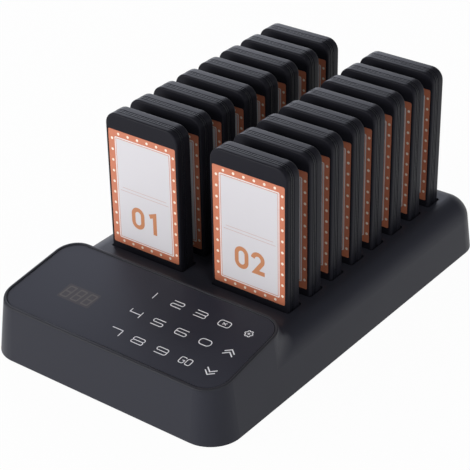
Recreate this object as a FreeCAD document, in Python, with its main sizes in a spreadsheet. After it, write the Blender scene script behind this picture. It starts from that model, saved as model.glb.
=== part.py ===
import FreeCAD, Part
import Sketcher
import math
import os

# Guest pager set: a charging base with a sloped touch console in front and sixteen
# pagers standing in two columns of slots behind it.
# Millimetres, +Z up, -Y towards the user. The origin is on the table under the middle of the base.

doc = FreeCAD.newDocument("guest_pager_set")
sheet = doc.addObject("Spreadsheet::Sheet", "sizes")

sizes = [
    # base body
    ("base_width", 162.0),          # across the foot of the side walls
    ("base_length", 263.5),         # front to back at the foot of the walls
    ("foot_height", 1.5),           # rubber feet under the base
    ("foot_side", 11.0),            # square pads
    ("foot_inset", 22.0),           # foot centres in from the front and back walls
    ("foot_side_inset", 22.0),
    ("casing_draft", 7.1),          # degrees that the walls lean inwards
    ("casing_corner", 18.5),        # plan corners at the foot
    ("casing_wall", 2.4),
    ("hollow_corner", 13.0),        # the hollows' plan corners are cut at 45 degrees
    ("hollow_bevel", 8.0),          # keeps the hollow clear of the large round
    ("cavity_overlap", 34.0),       # the hollows under tray and console run into each other
    ("tray_height", 34.0),          # table to the flat round the slots
    ("tray_round", 13.5),           # large round from the tray to the walls
    # console
    ("console_length", 73.0),       # front to back at the foot of the walls
    ("console_front_height", 32.5), # table to the sloped top, at the front
    ("console_slope", 8.7),         # degrees
    ("console_edge_bevel", 0.6),
    ("panel_rim", 1.2),             # casing edge left standing round the panel
    ("panel_gap", 0.2),
    ("panel_thickness", 2.0),
    ("panel_proud", 0.05),          # the rim stands this much above the panel
    ("panel_corner", 12.5),
    ("panel_ledge", 5.0),           # shelf that carries the panel
    ("ledge_thickness", 2.0),
    # keypad electronics
    ("board_thickness", 1.6),
    ("board_gap", 0.5),             # round the control board inside the ledge
    ("window_width", 22.0),         # three digit display
    ("window_depth", 10.5),
    ("window_inset", 42.5),         # display centre, in from the left wall's foot
    ("window_setback", 30.3),       # display centre up the slope from the console's front
    ("display_flange", 2.0),
    ("display_depth", 6.0),
    ("display_fit", 0.2),
    # pagers
    ("column_spacing", 72.6),
    ("first_pager_setback", 86.7),  # front wall at the foot to the first pager's face
    ("rear_margin", 21.8),          # last pager's back to the back wall's foot
    ("pager_width", 50.6),
    ("pager_height", 97.8),
    ("pager_thickness", 12.2),
    ("pager_corner", 7.4),
    ("pager_foot_corner", 2.4),     # cut at 45 degrees
    ("bezel_depth", 3.3),           # front shell, front to back
    ("back_edge_bevel", 1.6),
    ("card_width", 47.9),
    ("card_height", 72.0),
    ("card_bottom", 15.8),          # pager's foot to the card's lower edge
    ("card_thickness", 0.5),
    ("card_inset", 0.1),            # card face behind the bezel's face
    ("card_gap", 0.15),
    # slots
    ("slot_depth", 12.0),
    ("slot_side_gap", 1.0),
    ("slot_face_gap", 0.5),
    ("slot_corner", 0.9),           # corners cut at 45 degrees
    ("well_floor", 2.0),
    ("well_wall_share", 0.26),      # of the tray left between two slots
    # charging electronics
    ("contact_width", 2.4),
    ("contact_length", 1.2),
    ("contact_gap", 0.3),
    ("contact_spread", 9.0),        # contact centres either side of a pager's middle
    ("charge_board_drop", 2.4),     # well floor's underside to the board
    ("charge_board_margin", 3.0),
    ("post_side", 6.0),
    ("post_inset", 17.0),
    # bottom cover and the bosses that take its screws
    ("cover_thickness", 2.2),
    ("cover_gap", 0.25),
    ("boss_side", 7.0),
    ("boss_inset", 8.5),
    ("boss_end_inset", 16.0),
    ("tray_boss_top", 27.0),
    ("console_boss_top", 30.6),
    # connector bay in the back wall
    ("bay_width", 46.0),
    ("bay_height", 15.0),
    ("bay_level", 11.0),            # table to the middle of the bay
    ("bay_recess", 3.0),            # flat face of the bay, in from the foot of the wall
    ("bay_wall", 2.4),
    ("bay_backing", 0.4),           # bay block carried on into the back wall
    ("bay_corner", 2.0),
    ("inlet_offset", 11.0),
    ("inlet_bore_radius", 3.2),
    ("inlet_pin_radius", 1.0),
    ("inlet_hole_radius", 4.2),
    ("inlet_body_width", 9.0),
    ("inlet_body_height", 11.0),
    ("inlet_body_depth", 11.0),
    ("inlet_bore_depth", 9.5),
    ("inlet_pin_setback", 1.0),
    ("switch_offset", -11.0),
    ("switch_width", 15.0),
    ("switch_height", 10.0),
    ("switch_flange", 1.2),
    ("switch_flange_depth", 1.4),
    ("switch_body_depth", 12.0),
    ("switch_gap", 0.2),
    ("rocker_width", 10.4),
    ("rocker_height", 7.0),
    ("rocker_depth", 4.5),
    ("rocker_clearance", 0.45),
    ("rocker_tilt", 9.0),           # degrees from middle to either stop
    ("rocker_proud", 1.0),
    ("rocker_dip", 0.6),            # hollow of the rocker's face
    ("rocker_axis_depth", 2.6),     # flange's face to the pivot
    ("rocker_well", 6.5),
    ("trunnion_radius", 1.0),
    ("trunnion_length", 0.5),
    ("trunnion_gap", 0.08),
    # running over the edge of a cut
    ("overrun", 2.0),
]


class Size:
    """A length or angle that carries its spreadsheet expression beside its number."""

    def __init__(self, text, number):
        self.text = text
        self.number = number

    def join(self, other, sign, number):
        return Size("(" + self.text + " " + sign + " " + other.text + ")", number)

    def __add__(self, other):
        other = as_size(other)
        return self.join(other, "+", self.number + other.number)

    def __sub__(self, other):
        other = as_size(other)
        return self.join(other, "-", self.number - other.number)

    def __mul__(self, other):
        other = as_size(other)
        return self.join(other, "*", self.number * other.number)

    def __truediv__(self, other):
        other = as_size(other)
        return self.join(other, "/", self.number / other.number)

    def __neg__(self):
        return as_size(0) - self

    def __radd__(self, other):
        return as_size(other) + self

    def __rsub__(self, other):
        return as_size(other) - self

    def __rmul__(self, other):
        return as_size(other) * self


def as_size(thing):
    return thing if isinstance(thing, Size) else Size(repr(thing), float(thing))


def tangent(angle):
    return Size("tan(" + angle.text + ")", math.tan(math.radians(angle.number)))


def cosine(angle):
    return Size("cos(" + angle.text + ")", math.cos(math.radians(angle.number)))


def sine(angle):
    return Size("sin(" + angle.text + ")", math.sin(math.radians(angle.number)))


class Sheet:
    """Named sizes, read as attributes."""


dims = Sheet()
for row, (name, number) in enumerate(sizes, 1):
    sheet.set("A" + str(row), name)
    sheet.set("B" + str(row), str(number))
    sheet.setAlias("B" + str(row), name)
    setattr(dims, name, Size("sizes." + name, number))
doc.recompute()


def bind(thing, path, size):
    size = as_size(size)
    thing.setExpression(path, size.text)


def new_body(name):
    body = doc.addObject("PartDesign::Body", name)
    body.Label = name
    return body


def place(body, x, y, z, tilt=None):
    if tilt is not None:
        body.Placement = FreeCAD.Placement(FreeCAD.Vector(), FreeCAD.Rotation(FreeCAD.Vector(1, 0, 0), tilt.number))
        bind(body, "Placement.Rotation.Angle", tilt)
    bind(body, "Placement.Base.x", x)
    bind(body, "Placement.Base.y", y)
    bind(body, "Placement.Base.z", z)


def new_sketch(body, role, offset=None, origin=None, tilt=None):
    """A sketch on one of the body's origin planes, lifted by offset or moved and tilted about X."""
    sketch = body.newObject("Sketcher::SketchObject", body.Name + "_sketch")
    plane = [item for item in body.Origin.OriginFeatures if item.Role == role][0]
    sketch.AttachmentSupport = (plane, [""])
    sketch.MapMode = "FlatFace"
    if tilt is not None:
        turn = FreeCAD.Rotation(FreeCAD.Vector(1, 0, 0), tilt.number)
        sketch.AttachmentOffset = FreeCAD.Placement(FreeCAD.Vector(), turn)
        bind(sketch, "AttachmentOffset.Rotation.Angle", tilt)
    if origin is not None:
        for axis, size in zip("xyz", origin):
            bind(sketch, "AttachmentOffset.Base." + axis, size)
    if offset is not None:
        bind(sketch, "AttachmentOffset.Base.z", offset)
    return sketch


def pin_point(sketch, geometry, position, x, y):
    """Hold one sketch point at x, y from the sketch's origin."""
    first = sketch.addConstraint(Sketcher.Constraint("DistanceX", -1, 1, geometry, position, x.number))
    bind(sketch, "Constraints[" + str(first) + "]", x)
    second = sketch.addConstraint(Sketcher.Constraint("DistanceY", -1, 1, geometry, position, y.number))
    bind(sketch, "Constraints[" + str(second) + "]", y)


def outline(sketch, corners, radii):
    """A closed convex outline through corners, each rounded by its radius (None leaves it sharp)."""
    corners = [(as_size(x), as_size(y)) for x, y in corners]
    points = [FreeCAD.Vector(x.number, y.number, 0) for x, y in corners]
    count = len(points)
    starts, ends, arcs = [], [], {}
    for i, point in enumerate(points):
        before = (points[i - 1] - point).normalize()
        after = (points[(i + 1) % count] - point).normalize()
        if radii[i] is None:
            ends.append(point)
            starts.append(point)
            continue
        half = before.getAngle(after) / 2
        reach = radii[i].number / math.tan(half)
        ends.append(point + before * reach)
        starts.append(point + after * reach)
        centre = point + (before + after).normalize() * (radii[i].number / math.sin(half))
        middle = centre + (point - centre).normalize() * radii[i].number
        arcs[i] = (ends[i], middle, starts[i])
    lines = []
    for i in range(count):
        lines.append(sketch.addGeometry(Part.LineSegment(starts[i], ends[(i + 1) % count])))
    for i in range(count):
        if i not in arcs:
            sketch.addConstraint(Sketcher.Constraint("Coincident", lines[i - 1], 2, lines[i], 1))
            pin_point(sketch, lines[i], 1, *corners[i])
            continue
        arc = sketch.addGeometry(Part.Arc(*arcs[i]))
        begin = sketch.getPoint(arc, 1)
        near = 1 if begin.distanceToPoint(ends[i]) < begin.distanceToPoint(starts[i]) else 2
        sketch.addConstraint(Sketcher.Constraint("Tangent", lines[i - 1], 2, arc, near))
        sketch.addConstraint(Sketcher.Constraint("Tangent", arc, 3 - near, lines[i], 1))
        rounding = sketch.addConstraint(Sketcher.Constraint("Radius", arc, radii[i].number))
        bind(sketch, "Constraints[" + str(rounding) + "]", radii[i])
        corner = sketch.addGeometry(Part.Point(points[i]), True)
        sketch.addConstraint(Sketcher.Constraint("PointOnObject", corner, 1, lines[i - 1]))
        sketch.addConstraint(Sketcher.Constraint("PointOnObject", corner, 1, lines[i]))
        pin_point(sketch, corner, 1, *corners[i])


def rectangle(sketch, left, right, low, high, low_radius=None, high_radius=None):
    corners = [(left, low), (right, low), (right, high), (left, high)]
    outline(sketch, corners, [low_radius, low_radius, high_radius, high_radius])


def square(sketch, x, y, side):
    rectangle(sketch, x - side / 2, x + side / 2, y - side / 2, y + side / 2)


def cut_rectangle(sketch, left, right, low, high, cut):
    """A rectangle whose corners are cut off at 45 degrees."""
    corners = [(left + cut, low), (right - cut, low), (right, low + cut), (right, high - cut),
               (right - cut, high), (left + cut, high), (left, high - cut), (left, low + cut)]
    outline(sketch, corners, [None] * 8)


def circle(sketch, x, y, radius):
    x, y = as_size(x), as_size(y)
    ring = Part.Circle(FreeCAD.Vector(x.number, y.number, 0), FreeCAD.Vector(0, 0, 1), radius.number)
    index = sketch.addGeometry(ring)
    rounding = sketch.addConstraint(Sketcher.Constraint("Radius", index, radius.number))
    bind(sketch, "Constraints[" + str(rounding) + "]", radius)
    pin_point(sketch, index, 3, x, y)


def extrude(body, kind, sketch, length, backwards=False, taper=None, both_ways=False):
    feature = body.newObject("PartDesign::" + kind, body.Name + "_" + kind.lower())
    feature.Profile = sketch
    bind(feature, "Length", length)
    feature.Reversed = backwards
    if both_ways:
        feature.Midplane = True
    if taper is not None:
        bind(feature, "TaperAngle", taper)
    sketch.Visibility = False
    doc.recompute()
    return feature


def pad(body, sketch, length, **how):
    return extrude(body, "Pad", sketch, length, **how)


def pocket(body, sketch, length, **how):
    before = body.Shape.Volume
    feature = extrude(body, "Pocket", sketch, length, **how)
    if body.Shape.Volume > before - 1e-6:
        raise ValueError(feature.Name + " cuts nothing")
    return feature


def edges_where(shape, wanted):
    return ["Edge" + str(i) for i, edge in enumerate(shape.Edges, 1) if wanted(edge)]


def dress(body, kind, wanted, size):
    """A fillet or chamfer on the edges of the body's tip that wanted picks."""
    base = body.Tip
    names = edges_where(base.Shape, wanted)
    feature = body.newObject("PartDesign::" + kind, body.Name + "_" + kind.lower())
    feature.Base = (base, names)
    bind(feature, "Radius" if kind == "Fillet" else "Size", size)
    doc.recompute()
    if not names or "Invalid" in feature.State:
        raise ValueError(feature.Name + " failed on " + str(len(names)) + " edges")
    return feature


def take_away(body, tool):
    """Cut one body's form out of another."""
    feature = body.newObject("PartDesign::Boolean", body.Name + "_cut")
    feature.Type = "Cut"
    feature.setObjects([tool])
    doc.recompute()
    if "Invalid" in feature.State:
        raise ValueError(feature.Name + " failed")


def at_level(level):
    """Picks edges that lie wholly at one height."""
    def wanted(edge):
        box = edge.BoundBox
        return abs(box.ZMin - level) < 1e-4 and abs(box.ZMax - level) < 1e-4
    return wanted


def at_depth(depth):
    """Picks edges that lie wholly at one distance back."""
    def wanted(edge):
        box = edge.BoundBox
        return abs(box.YMin - depth) < 1e-4 and abs(box.YMax - depth) < 1e-4
    return wanted


# Places that several pieces share
draft = tangent(dims.casing_draft)
slope = tangent(dims.console_slope)
half_width = dims.base_width / 2
front = -(dims.base_length / 2)
back = dims.base_length / 2
console_back = front + dims.console_length
console_rise = dims.console_front_height - dims.foot_height
front_lean = console_rise * draft / (1 - slope * draft)
back_lean = (console_rise + dims.console_length * slope) * draft / (1 + slope * draft)
rim_front = front_lean / cosine(dims.console_slope)
rim_back = (dims.console_length - back_lean) / cosine(dims.console_slope)
rim_front_half = half_width - front_lean
rim_back_half = half_width - back_lean
console_origin = (as_size(0), front, dims.console_front_height)
panel_seat = dims.panel_proud + dims.panel_thickness
tray_underside = dims.tray_height - dims.casing_wall
well_level = dims.tray_height - dims.slot_depth
well_underside = well_level - dims.well_floor
board_level = well_underside - dims.charge_board_drop
first_face = front + dims.first_pager_setback
first_slot = first_face - dims.slot_face_gap
slot_half = dims.pager_width / 2 + dims.slot_side_gap
slot_length = dims.pager_thickness + 2 * dims.slot_face_gap
cover_top = dims.foot_height + dims.cover_thickness
bay_face = back - dims.bay_recess
bay_inside = bay_face - dims.bay_wall
column_half = dims.column_spacing / 2
column_places = {"left": -column_half, "right": column_half}
rows = 8
pager_pitch = (dims.base_length - dims.first_pager_setback - dims.pager_thickness - dims.rear_margin) / (rows - 1)
field_length = (rows - 1) * pager_pitch + slot_length
well_wall = dims.well_wall_share * (pager_pitch - slot_length)
window_offset = half_width - dims.window_inset
contact_row = first_face + dims.pager_thickness / 2
boss_x = half_width - dims.boss_inset
boss_rows = [front + dims.boss_end_inset, back - dims.boss_end_inset]


def mirrored_pairs(rows_of_places, across):
    return [(side, along) for along in rows_of_places for side in (-across, across)]


foot_places = mirrored_pairs([front + dims.foot_inset, back - dims.foot_inset], half_width - dims.foot_side_inset)
post_rows = [first_slot + dims.post_inset, first_slot + field_length - dims.post_inset]
post_places = mirrored_pairs(post_rows, column_half)


def panel_corners(rim):
    """The four corners of the sloped panel, rim inside the console's upper edge."""
    low = rim_front + rim
    high = rim_back - rim
    low_half = rim_front_half - rim
    high_half = rim_back_half - rim
    return [(-low_half, low), (low_half, low), (high_half, high), (-high_half, high)]


def panel_outline(body, rim, corner, depth):
    """A sketch parallel to the panel, depth below the console's sloped top."""
    sketch = new_sketch(body, "XY_Plane", offset=-depth)
    outline(sketch, panel_corners(rim), [corner] * 4)
    return sketch


def sloped_outline(body, rim, corner, depth):
    """The same outline in a body that isn't itself tilted."""
    down = depth * cosine(dims.console_slope)
    along = depth * sine(dims.console_slope)
    origin = (as_size(0), console_origin[1] + along, console_origin[2] - down)
    sketch = new_sketch(body, "XY_Plane", origin=origin, tilt=dims.console_slope)
    outline(sketch, panel_corners(rim), [corner] * 4)
    return sketch


def base_outline(body, level, inset, low, high, corner):
    """A rounded plan outline, inset from the side walls' foot."""
    sketch = new_sketch(body, "XY_Plane", offset=level)
    wall = half_width - inset
    rectangle(sketch, -wall, wall, low, high, corner, corner)
    return sketch


def on_slope(edge):
    """Picks edges that lie in the console's sloped top."""
    rise = slope.number
    for vertex in edge.Vertexes:
        level = dims.console_front_height.number + (vertex.Y - front.number) * rise
        if abs(vertex.Z - level) > 1e-4:
            return False
    return True


def repeat_rows(body, features, count):
    """Repeat features back along the base, one pager pitch apart."""
    pattern = body.newObject("PartDesign::LinearPattern", body.Name + "_rows")
    pattern.Originals = features
    axis = [item for item in body.Origin.OriginFeatures if item.Role == "Y_Axis"][0]
    pattern.Direction = (axis, [""])
    pattern.Occurrences = count
    bind(pattern, "Length", (count - 1) * pager_pitch)
    body.Tip = pattern
    doc.recompute()
    return pattern


def casing_shell(body):
    """Outer form, hollowed from below: a low tray behind a sloped console."""
    corner = dims.casing_corner
    sketch = base_outline(body, dims.foot_height, as_size(0), front, back, corner)
    pad(body, sketch, dims.tray_height - dims.foot_height, taper=-dims.casing_draft)
    dress(body, "Fillet", at_level(dims.tray_height.number), dims.tray_round)
    sketch = base_outline(body, dims.foot_height, as_size(0), front, console_back, corner)
    pad(body, sketch, console_rise + dims.console_length * slope, taper=-dims.casing_draft)
    sketch = new_sketch(body, "XY_Plane", origin=console_origin, tilt=dims.console_slope)
    beyond = half_width + dims.overrun
    reach = dims.console_length / cosine(dims.console_slope) + dims.overrun
    rectangle(sketch, -beyond, beyond, -dims.overrun, reach)
    pocket(body, sketch, dims.console_length, backwards=True)
    dress(body, "Chamfer", on_slope, dims.console_edge_bevel)
    # hollow under the tray
    wall = dims.casing_wall
    inner_corner = corner - wall
    cavity_front = console_back - dims.cavity_overlap
    hollow = new_body("tray_hollow")
    sketch = new_sketch(hollow, "XY_Plane", offset=dims.foot_height)
    cut_rectangle(sketch, wall - half_width, half_width - wall, cavity_front, back - wall, dims.hollow_corner)
    pad(hollow, sketch, tray_underside - dims.foot_height, taper=-dims.casing_draft)
    dress(hollow, "Chamfer", at_level(tray_underside.number), dims.hollow_bevel)
    take_away(body, hollow)
    # seat for the bottom cover
    sketch = base_outline(body, dims.foot_height, wall, front + wall, back - wall, inner_corner)
    pocket(body, sketch, dims.cover_thickness, backwards=True, taper=-dims.casing_draft)
    # hollow under the console, then the recess and window for the panel
    ceiling = panel_seat + dims.ledge_thickness
    sketch = sloped_outline(body, wall, inner_corner - dims.panel_rim, ceiling)
    pocket(body, sketch, dims.console_length, taper=dims.casing_draft)
    sketch = sloped_outline(body, dims.panel_rim, dims.panel_corner + dims.panel_gap, as_size(0))
    pocket(body, sketch, panel_seat)
    window_rim = dims.panel_rim + dims.panel_ledge
    sketch = sloped_outline(body, window_rim, dims.panel_corner - dims.panel_ledge, panel_seat)
    pocket(body, sketch, dims.ledge_thickness + dims.overrun)


def casing_wells(body):
    """Two blocks of eight wells under the tray, open at the top, with a floor for the charging blades."""
    sketch = new_sketch(body, "XY_Plane", offset=well_underside)
    low = first_slot - well_wall
    high = first_slot + field_length + well_wall
    reach = slot_half + well_wall
    for middle in column_places.values():
        rectangle(sketch, middle - reach, middle + reach, low, high)
    pad(body, sketch, tray_underside + dims.casing_wall / 2 - well_underside)
    # slots
    sketch = new_sketch(body, "XY_Plane", offset=dims.tray_height)
    for middle in column_places.values():
        cut_rectangle(sketch, middle - slot_half, middle + slot_half, first_slot, first_slot + slot_length,
                      dims.slot_corner)
    slot = pocket(body, sketch, dims.slot_depth)
    # blade holes through the well floors
    sketch = new_sketch(body, "XY_Plane", offset=well_level)
    for middle in column_places.values():
        for side in (-dims.contact_spread, dims.contact_spread):
            across = dims.contact_width / 2 + dims.contact_gap
            along = dims.contact_length / 2 + dims.contact_gap
            rectangle(sketch, middle + side - across, middle + side + across, contact_row - along, contact_row + along)
    holes = pocket(body, sketch, dims.well_floor + dims.overrun)
    repeat_rows(body, [slot, holes], rows)
    # spaces between neighbouring wells
    sketch = new_sketch(body, "XY_Plane", offset=well_underside)
    space_front = first_slot + slot_length + well_wall
    space_back = first_slot + pager_pitch - well_wall
    for middle in column_places.values():
        rectangle(sketch, middle - slot_half, middle + slot_half, space_front, space_back)
    space = pocket(body, sketch, tray_underside - well_underside, backwards=True)
    repeat_rows(body, [space], rows - 1)


def casing_bosses(body):
    """Bosses over the bottom cover, where its screws go in."""
    tops = [dims.console_boss_top, dims.tray_boss_top]
    for along, top in zip(boss_rows, tops):
        sketch = new_sketch(body, "XY_Plane", offset=cover_top)
        for side in (-boss_x, boss_x):
            square(sketch, side, along, dims.boss_side)
        pad(body, sketch, top - cover_top)


def casing_bay(body):
    """A flat recess in the back wall for the power inlet and the switch."""
    half = dims.bay_width / 2
    low = dims.bay_level - dims.bay_height / 2
    high = dims.bay_level + dims.bay_height / 2
    sketch = new_sketch(body, "XZ_Plane", offset=-bay_inside)
    rectangle(sketch, -(half + dims.bay_wall), half + dims.bay_wall, cover_top + dims.cover_gap, high + dims.bay_wall)
    pad(body, sketch, dims.bay_wall + dims.bay_backing, backwards=True)
    sketch = new_sketch(body, "XZ_Plane", offset=-bay_face)
    rectangle(sketch, -half, half, low, high, dims.bay_corner, dims.bay_corner)
    pocket(body, sketch, dims.bay_recess + dims.overrun)
    sketch = new_sketch(body, "XZ_Plane", offset=-bay_face)
    circle(sketch, dims.inlet_offset, dims.bay_level, dims.inlet_hole_radius)
    across = dims.switch_width / 2 - dims.switch_flange + dims.switch_gap
    along = dims.switch_height / 2 - dims.switch_flange + dims.switch_gap
    rectangle(sketch, dims.switch_offset - across, dims.switch_offset + across,
              dims.bay_level - along, dims.bay_level + along)
    pocket(body, sketch, dims.bay_wall + dims.overrun, backwards=True)


def upper_casing():
    body = new_body("upper_casing")
    casing_shell(body)
    casing_wells(body)
    casing_bosses(body)
    casing_bay(body)
    return body


def bottom_cover():
    """Flat cover inside the casing's foot, with posts that carry the charging board."""
    body = new_body("bottom_cover")
    inset = dims.casing_wall + dims.cover_gap
    corner = dims.casing_corner - inset
    sketch = base_outline(body, dims.foot_height, inset, front + inset, back - inset, corner)
    pad(body, sketch, dims.cover_thickness, taper=-dims.casing_draft)
    sketch = new_sketch(body, "XY_Plane", offset=cover_top)
    for across, along in post_places:
        square(sketch, across, along, dims.post_side)
    pad(body, sketch, board_level - dims.board_thickness - cover_top)
    return body


def rubber_feet():
    body = new_body("rubber_feet")
    sketch = new_sketch(body, "XY_Plane")
    for across, along in foot_places:
        square(sketch, across, along, dims.foot_side)
    pad(body, sketch, dims.foot_height)
    return body


def charging_board():
    """One circuit board under all the wells."""
    body = new_body("charging_board")
    sketch = new_sketch(body, "XY_Plane", offset=board_level)
    margin = dims.charge_board_margin
    across = column_half + slot_half - margin
    rectangle(sketch, -across, across, first_slot + margin, first_slot + field_length - margin)
    pad(body, sketch, dims.board_thickness, backwards=True)
    return body


def charging_contacts():
    """Two spring blades for each pager, standing on the charging board and reaching the pager's foot."""
    body = new_body("charging_contacts")
    across = dims.contact_width / 2
    along = dims.contact_length / 2
    sketch = new_sketch(body, "XY_Plane", offset=board_level)
    for middle in column_places.values():
        for side in (-dims.contact_spread, dims.contact_spread):
            rectangle(sketch, middle + side - across, middle + side + across, contact_row - along, contact_row + along)
    blade = pad(body, sketch, well_level - board_level)
    repeat_rows(body, [blade], rows)
    return body


def tilted(body):
    place(body, *console_origin, tilt=dims.console_slope)
    return body


def touch_panel():
    body = new_body("touch_panel")
    sketch = panel_outline(body, dims.panel_rim + dims.panel_gap, dims.panel_corner, panel_seat)
    pad(body, sketch, dims.panel_thickness)
    return tilted(body)


def display_window(body, grow, depth):
    sketch = new_sketch(body, "XY_Plane", offset=-depth)
    across = dims.window_width / 2 + grow
    along = dims.window_depth / 2 + grow
    rectangle(sketch, -window_offset - across, -window_offset + across,
              dims.window_setback - along, dims.window_setback + along)
    return sketch


def control_board():
    """Touch and radio board against the panel's underside, with a cut-out for the display."""
    body = new_body("control_board")
    rim = dims.panel_rim + dims.panel_ledge + dims.board_gap
    corner = dims.panel_corner - dims.panel_ledge - dims.board_gap
    sketch = panel_outline(body, rim, corner, panel_seat)
    pad(body, sketch, dims.board_thickness, backwards=True)
    sketch = display_window(body, dims.display_fit, panel_seat)
    pocket(body, sketch, dims.board_thickness + dims.overrun)
    return tilted(body)


def digit_display():
    """Three digit display that shows through the panel; its flange sits under the board."""
    body = new_body("digit_display")
    sketch = display_window(body, as_size(0), panel_seat)
    pad(body, sketch, dims.board_thickness, backwards=True)
    sketch = display_window(body, dims.display_flange, panel_seat + dims.board_thickness)
    pad(body, sketch, dims.display_depth - dims.board_thickness, backwards=True)
    return tilted(body)


def dc_inlet():
    """Barrel inlet: a block with a blind bore behind the hole in the bay's wall."""
    body = new_body("dc_inlet")
    x = dims.inlet_offset
    z = dims.bay_level
    across = dims.inlet_body_width / 2
    along = dims.inlet_body_height / 2
    sketch = new_sketch(body, "XZ_Plane", offset=-bay_inside)
    rectangle(sketch, x - across, x + across, z - along, z + along)
    pad(body, sketch, dims.inlet_body_depth)
    sketch = new_sketch(body, "XZ_Plane", offset=-bay_inside)
    circle(sketch, x, z, dims.inlet_bore_radius)
    pocket(body, sketch, dims.inlet_bore_depth, backwards=True)
    return body


def inlet_pin():
    """Centre contact that stands on the bottom of the inlet's bore."""
    body = new_body("inlet_pin")
    sketch = new_sketch(body, "XZ_Plane", offset=-(bay_inside - dims.inlet_bore_depth))
    circle(sketch, dims.inlet_offset, dims.bay_level, dims.inlet_pin_radius)
    pad(body, sketch, dims.inlet_bore_depth - dims.inlet_pin_setback, backwards=True)
    return body


def switch_housing():
    body = new_body("switch_housing")
    x = dims.switch_offset
    z = dims.bay_level
    sketch = new_sketch(body, "XZ_Plane", offset=-bay_face)
    across = dims.switch_width / 2
    along = dims.switch_height / 2
    rectangle(sketch, x - across, x + across, z - along, z + along)
    pad(body, sketch, dims.switch_flange_depth, backwards=True)
    sketch = new_sketch(body, "XZ_Plane", offset=-bay_face)
    flange = dims.switch_flange
    rectangle(sketch, x - across + flange, x + across - flange, z - along + flange, z + along - flange)
    pad(body, sketch, dims.switch_body_depth)
    sketch = new_sketch(body, "XZ_Plane", offset=-(bay_face + dims.switch_flange_depth))
    across = dims.rocker_width / 2 + dims.rocker_clearance
    along = dims.rocker_height / 2 + dims.rocker_clearance
    rectangle(sketch, x - across, x + across, z - along, z + along)
    pocket(body, sketch, dims.rocker_well, backwards=True)
    sketch = new_sketch(body, "YZ_Plane", offset=x)
    circle(sketch, rocker_axis, z, dims.trunnion_radius + dims.trunnion_gap)
    pocket(body, sketch, 2 * (across + dims.trunnion_length), both_ways=True)
    return body


rocker_axis = bay_face + dims.switch_flange_depth - dims.rocker_axis_depth


def switch_rocker():
    """Rocker on two trunnions, resting on the stop of its first position."""
    body = new_body("switch_rocker")
    half_height = dims.rocker_height / 2
    face = dims.rocker_axis_depth + dims.rocker_proud
    sketch = new_sketch(body, "YZ_Plane")
    tail = -(dims.rocker_depth - face)
    corners = [(tail, -half_height), (face, -half_height), (face - dims.rocker_dip, as_size(0)),
               (face, half_height), (tail, half_height)]
    outline(sketch, corners, [None] * 5)
    pad(body, sketch, dims.rocker_width, both_ways=True)
    sketch = new_sketch(body, "YZ_Plane")
    circle(sketch, 0, 0, dims.trunnion_radius)
    pad(body, sketch, dims.rocker_width + 2 * (dims.rocker_clearance + dims.trunnion_length - dims.trunnion_gap),
        both_ways=True)
    place(body, dims.switch_offset, rocker_axis, dims.bay_level, tilt=-dims.rocker_tilt)
    return body


def pager_outline(body, depth):
    """The pager seen from the front: rounded shoulders and cut lower corners."""
    sketch = new_sketch(body, "XZ_Plane", offset=-depth)
    half = dims.pager_width / 2
    cut = dims.pager_foot_corner
    corners = [(-half + cut, 0), (half - cut, 0), (half, cut), (half, dims.pager_height),
               (-half, dims.pager_height), (-half, cut)]
    outline(sketch, corners, [None, None, None, dims.pager_corner, dims.pager_corner, None])
    return sketch


def card_outline(body, depth, grow):
    sketch = new_sketch(body, "XZ_Plane", offset=-depth)
    half = dims.card_width / 2 + grow
    rectangle(sketch, -half, half, dims.card_bottom - grow, dims.card_bottom + dims.card_height + grow)
    return sketch


def pager(index, side, number):
    """Front shell, back shell and number card of one pager."""
    place_x = column_places[side]
    place_y = first_face + index * pager_pitch
    label = "pager_" + number
    nothing = as_size(0)

    bezel = new_body(label + "_front_shell")
    pad(bezel, pager_outline(bezel, nothing), dims.bezel_depth, backwards=True)
    pocket(bezel, card_outline(bezel, nothing, dims.card_gap), dims.card_thickness + dims.card_inset)
    place(bezel, place_x, place_y, well_level)

    shell = new_body(label + "_back_shell")
    pad(shell, pager_outline(shell, dims.bezel_depth), dims.pager_thickness - dims.bezel_depth, backwards=True)
    dress(shell, "Chamfer", at_depth(dims.pager_thickness.number), dims.back_edge_bevel)
    place(shell, place_x, place_y, well_level)

    card = new_body(label + "_card")
    pad(card, card_outline(card, dims.card_inset, nothing), dims.card_thickness, backwards=True)
    place(card, place_x, place_y, well_level)
    return [bezel, shell, card]


parts = [upper_casing(), bottom_cover(), rubber_feet(), charging_board(), charging_contacts(),
         touch_panel(), control_board(), digit_display(), dc_inlet(), inlet_pin(), switch_housing(), switch_rocker()]
for index in range(rows):
    for column, side in enumerate(column_places):
        parts += pager(index, side, format(2 * index + column + 1, "02d"))

doc.recompute()
for item in doc.Objects:
    if "Invalid" in item.State or "Error" in item.State:
        raise ValueError(item.Name + " failed")
for part in parts:
    if part.Shape.isNull() or not part.Shape.isValid():
        raise ValueError(part.Label + " has no valid shape")

os.makedirs("parts", exist_ok=True)
for part in parts:
    part.Shape.exportStep("parts/" + part.Label + ".step")
print(len(parts), "pieces written")
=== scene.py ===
import math

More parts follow.
